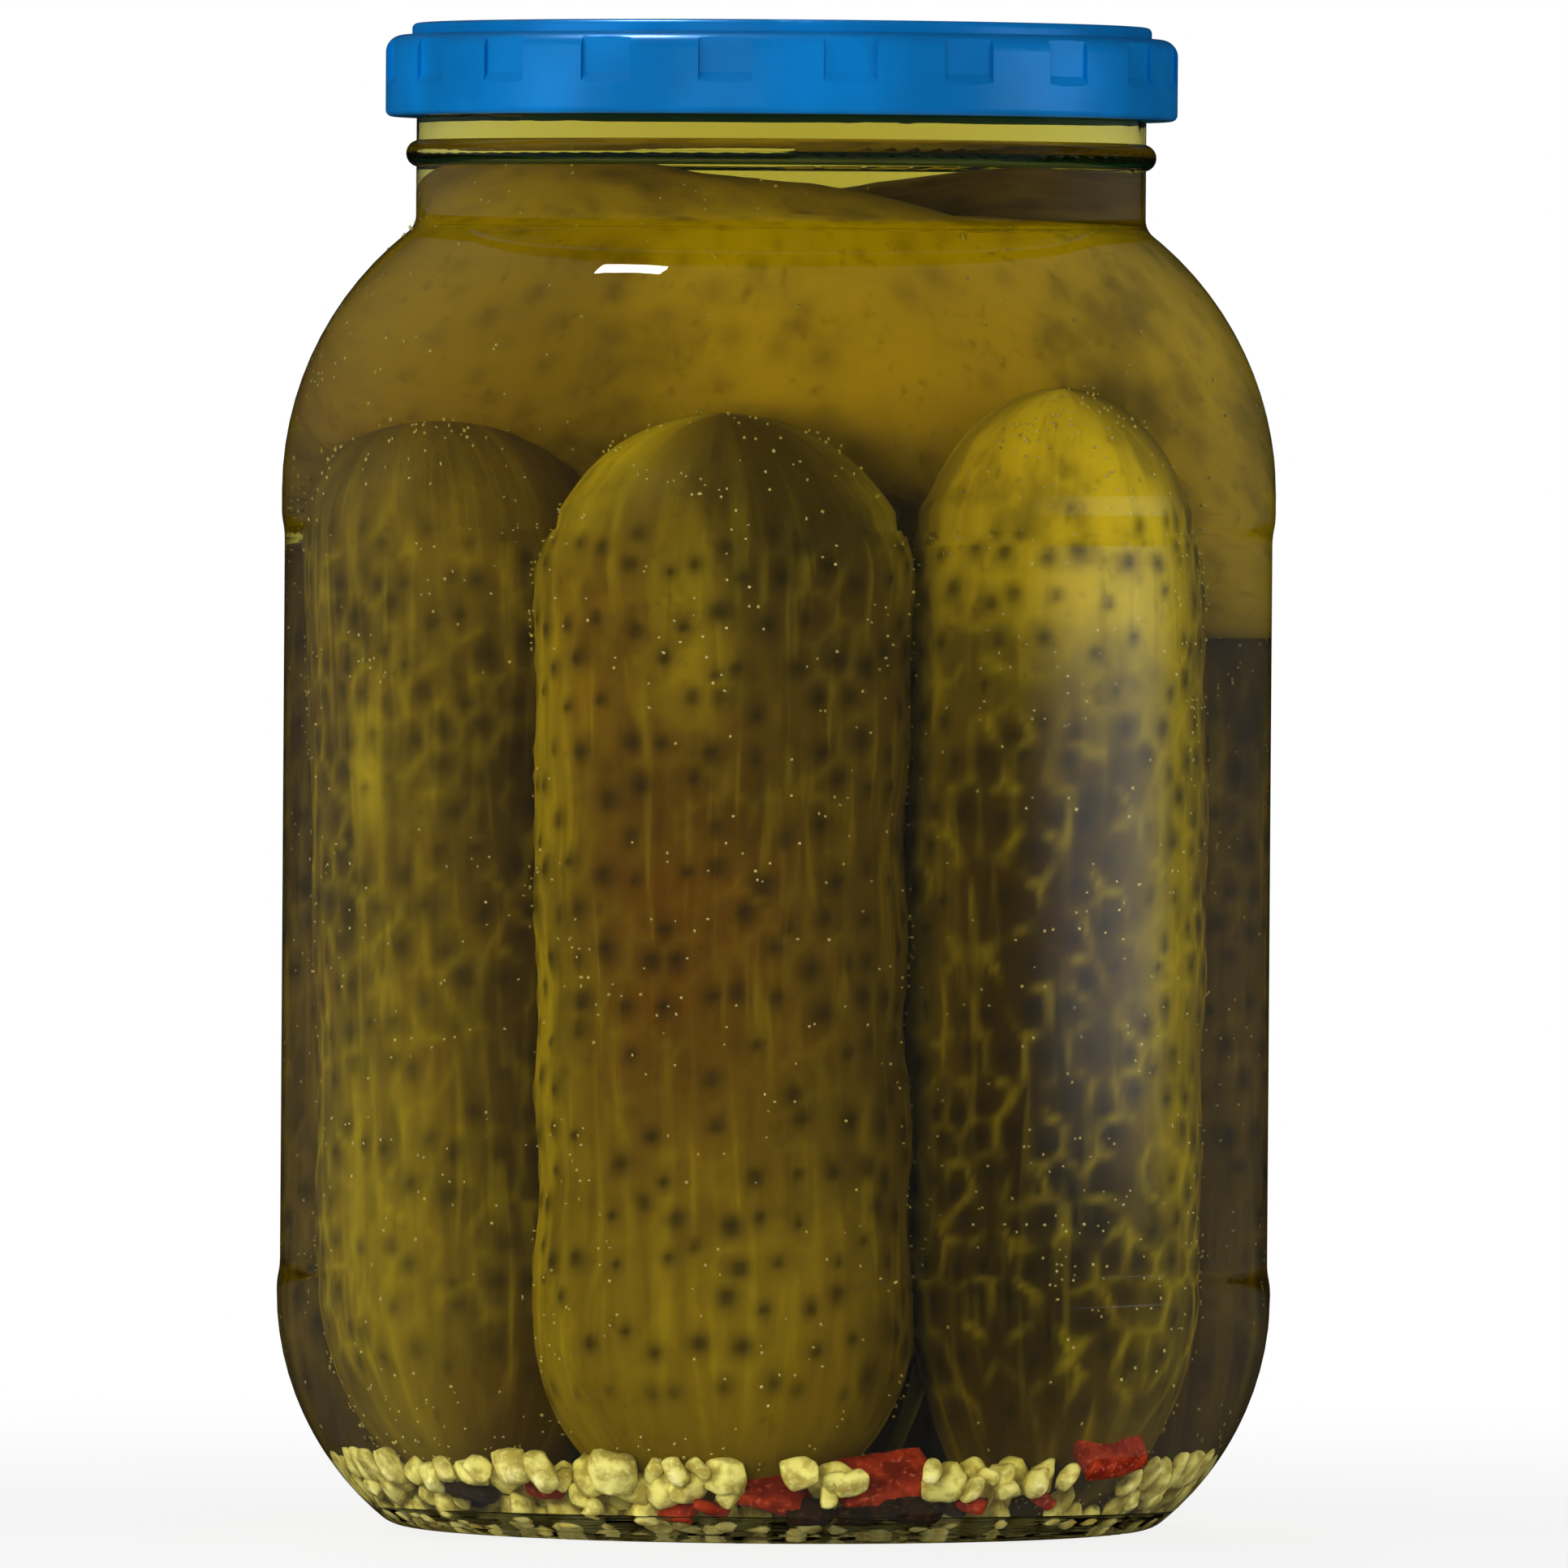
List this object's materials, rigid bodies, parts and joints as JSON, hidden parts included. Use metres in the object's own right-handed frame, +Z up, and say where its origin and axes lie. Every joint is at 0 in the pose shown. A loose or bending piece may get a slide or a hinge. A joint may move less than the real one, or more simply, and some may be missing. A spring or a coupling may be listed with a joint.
{
  "type": "pickle jar",
  "caption": "Large clear glass jar of whole pickles in brine, with a broad label panel, a short threaded neck and a twist-off metal lid.",
  "frame": {"origin": "centre of the ring that the jar stands on, at the height of the table", "axes": "+Z up along the jar's axis, -Y towards the front, +X to the right as seen from the front"},
  "size_m": [0.1406, 0.1406, 0.2122],
  "materials": {
    "glass": "clear, blown and fire-polished",
    "lacquered_lid": "glossy blue lacquer on tinplate",
    "brine": "clear yellow-green liquid"
  },
  "bodies": {
    "root": {"jar": "glass", "lid": "lacquered_lid", "brine": "brine"}
  },
  "joints": []
}
